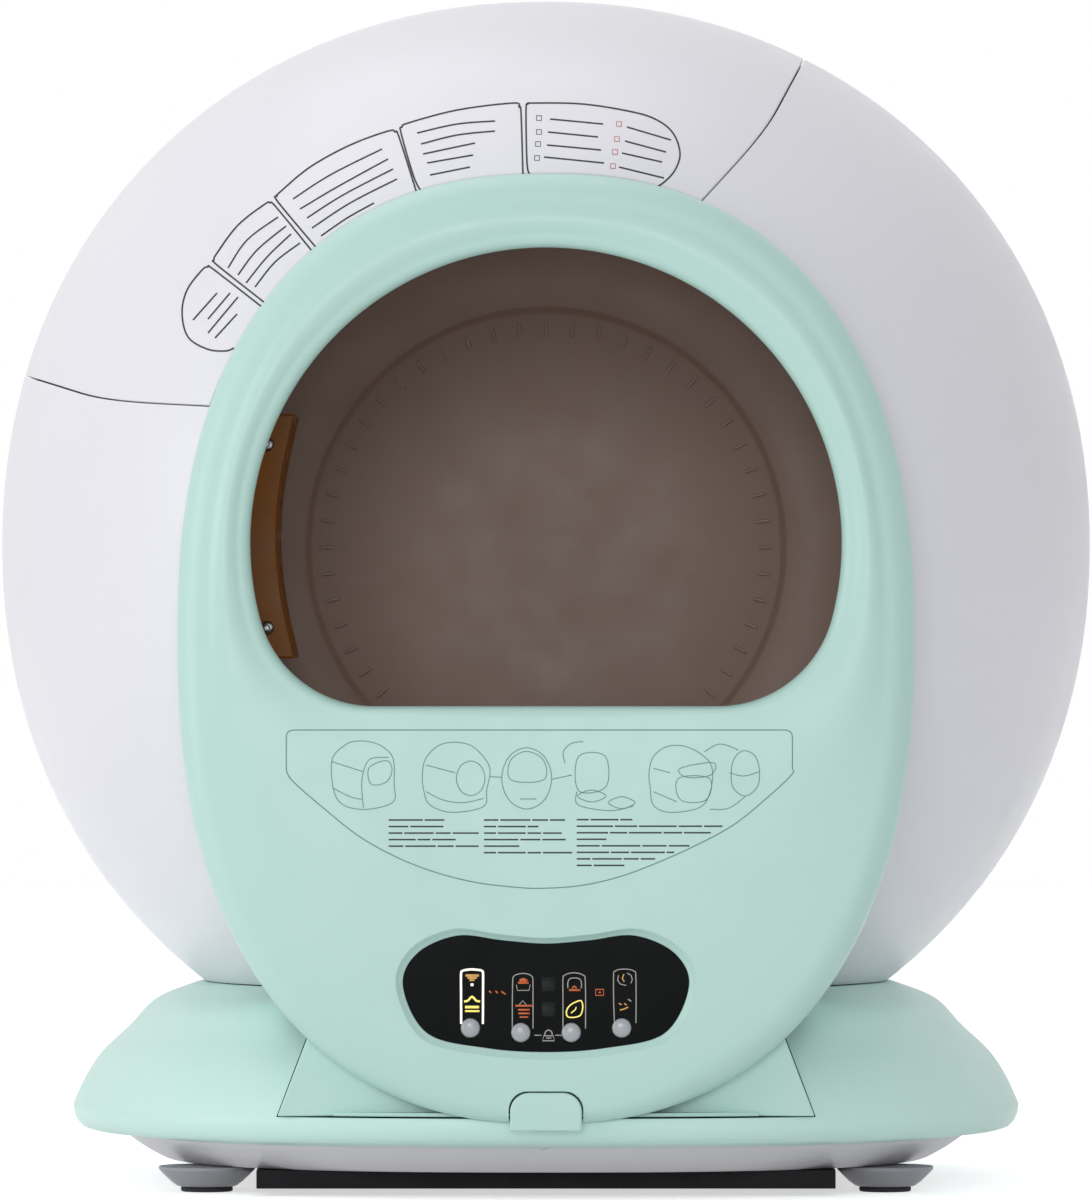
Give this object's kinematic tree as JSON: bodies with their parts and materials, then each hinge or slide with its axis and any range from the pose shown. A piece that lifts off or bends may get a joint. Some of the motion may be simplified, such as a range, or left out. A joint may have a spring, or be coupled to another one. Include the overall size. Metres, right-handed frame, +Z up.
{
  "type": "self cleaning litter box",
  "caption": "Ball shaped self cleaning litter box with a turning sifting drum, lift-off hood, removable front bezel, waste drawer, button panel and wide footed base.",
  "frame": {"origin": "centre of the footprint on the floor", "axes": "+Z up, front faces -Y, +X to the right seen from the front"},
  "size_m": [0.5999, 0.54, 0.6487],
  "materials": {
    "shell": "satin moulded ABS",
    "mint": "satin moulded ABS",
    "skirt": "satin moulded plastic",
    "foot": "satin moulded plastic",
    "rubber": "matte",
    "black_plastic": "satin moulded plastic",
    "panel": "polished acrylic",
    "board": "solder mask",
    "key": "satin silver",
    "drum": "satin moulded plastic",
    "gear": "acetal",
    "steel": "zinc plated",
    "amber": "translucent amber plastic"
  },
  "bodies": {
    "housing": {"base_cover": "mint", "base_pan": "skirt", "underside_plate": "black_plastic", "foot_front_left": "foot", "foot_front_right": "foot", "foot_rear_left": "foot", "foot_rear_right": "foot", "foot_pad_front_left": "rubber", "foot_pad_front_right": "rubber", "foot_pad_rear_left": "rubber", "foot_pad_rear_right": "rubber", "front_shell": "shell", "rear_shell": "shell", "front_ring": "mint", "drum_seal": "rubber", "roller_cradle": "black_plastic", "front_axle_left": "steel", "front_axle_right": "steel", "rear_axle_left": "steel", "rear_axle_right": "steel", "motor_bracket": "steel", "gear_motor": "steel", "drawer_rail_left": "black_plastic", "drawer_rail_right": "black_plastic", "power_inlet": "black_plastic"},
    "hood": {"hood_cover": "shell"},
    "drum_assembly": {"drum": "drum", "drum_ring_gear": "gear", "sifter_flange": "amber", "sifter_grid": "amber", "sifter_screw_1": "steel", "sifter_screw_2": "steel"},
    "pinion": {"motor_pinion": "gear", "motor_shaft": "steel"},
    "front_roller_left": {"front_roller_left": "rubber"},
    "front_roller_right": {"front_roller_right": "rubber"},
    "rear_roller_left": {"rear_roller_left": "rubber"},
    "rear_roller_right": {"rear_roller_right": "rubber"},
    "bezel": {"bezel": "mint", "bezel_side_band": "mint", "panel_glass": "panel", "control_housing": "black_plastic", "circuit_board": "board", "display_module": "black_plastic"},
    "release_tab": {"release_tab": "mint"},
    "drawer": {"waste_drawer": "black_plastic", "drawer_front": "mint", "bag_ring": "black_plastic"},
    "button_1": {"control_button_1": "key"},
    "button_2": {"control_button_2": "key"},
    "button_3": {"control_button_3": "key"},
    "button_4": {"control_button_4": "key"}
  },
  "joints": [
    {"name": "drum_spin", "type": "hinge", "parent": "housing", "child": "drum_assembly", "pos_m": [0, 0, 0.349], "axis": [0, 1, 0], "continuous": true},
    {"name": "pinion_spin", "type": "hinge", "parent": "housing", "child": "pinion", "pos_m": [0.05281, 0.094, 0.07734], "axis": [0, 1, 0], "continuous": true},
    {"name": "front_roller_left_spin", "type": "hinge", "parent": "housing", "child": "front_roller_left", "pos_m": [-0.11864, -0.184, 0.21724], "axis": [0, 1, 0], "continuous": true},
    {"name": "front_roller_right_spin", "type": "hinge", "parent": "housing", "child": "front_roller_right", "pos_m": [0.11864, -0.184, 0.21724], "axis": [0, 1, 0], "continuous": true},
    {"name": "rear_roller_left_spin", "type": "hinge", "parent": "housing", "child": "rear_roller_left", "pos_m": [-0.12765, 0.062, 0.1279], "axis": [0, 1, 0], "continuous": true},
    {"name": "rear_roller_right_spin", "type": "hinge", "parent": "housing", "child": "rear_roller_right", "pos_m": [0.12765, 0.062, 0.1279], "axis": [0, 1, 0], "continuous": true},
    {"name": "hood_lift", "type": "slide", "parent": "housing", "child": "hood", "axis": [-0.3746, 0, 0.9272], "range_m": [0, 0.08]},
    {"name": "bezel_slide", "type": "slide", "parent": "housing", "child": "bezel", "axis": [0, -1, 0], "range_m": [0, 0.36]},
    {"name": "drawer_slide", "type": "slide", "parent": "housing", "child": "drawer", "axis": [0, -1, 0], "range_m": [0, 0.324]},
    {"name": "release_tab_press", "type": "slide", "parent": "bezel", "child": "release_tab", "axis": [0, 1, 0], "range_m": [0, 0.0015], "stiffness_N_per_m": 600, "springref_m": -0.001},
    {"name": "button_1_press", "type": "slide", "parent": "bezel", "child": "button_1", "axis": [0, 1, 0], "range_m": [0, 0.001], "stiffness_N_per_m": 500, "springref_m": -0.001},
    {"name": "button_2_press", "type": "slide", "parent": "bezel", "child": "button_2", "axis": [0, 1, 0], "range_m": [0, 0.001], "stiffness_N_per_m": 500, "springref_m": -0.001},
    {"name": "button_3_press", "type": "slide", "parent": "bezel", "child": "button_3", "axis": [0, 1, 0], "range_m": [0, 0.001], "stiffness_N_per_m": 500, "springref_m": -0.001},
    {"name": "button_4_press", "type": "slide", "parent": "bezel", "child": "button_4", "axis": [0, 1, 0], "range_m": [0, 0.001], "stiffness_N_per_m": 500, "springref_m": -0.001}
  ],
  "couplings": [
    {"joint": "pinion_spin", "follows": "drum_spin", "ratio": -8},
    {"joint": "front_roller_left_spin", "follows": "drum_spin", "ratio": -13.75},
    {"joint": "front_roller_right_spin", "follows": "drum_spin", "ratio": -13.75},
    {"joint": "rear_roller_left_spin", "follows": "drum_spin", "ratio": -16},
    {"joint": "rear_roller_right_spin", "follows": "drum_spin", "ratio": -16},
    {"joint": "drawer_slide", "follows": "bezel_slide", "ratio": 0.9}
  ]
}
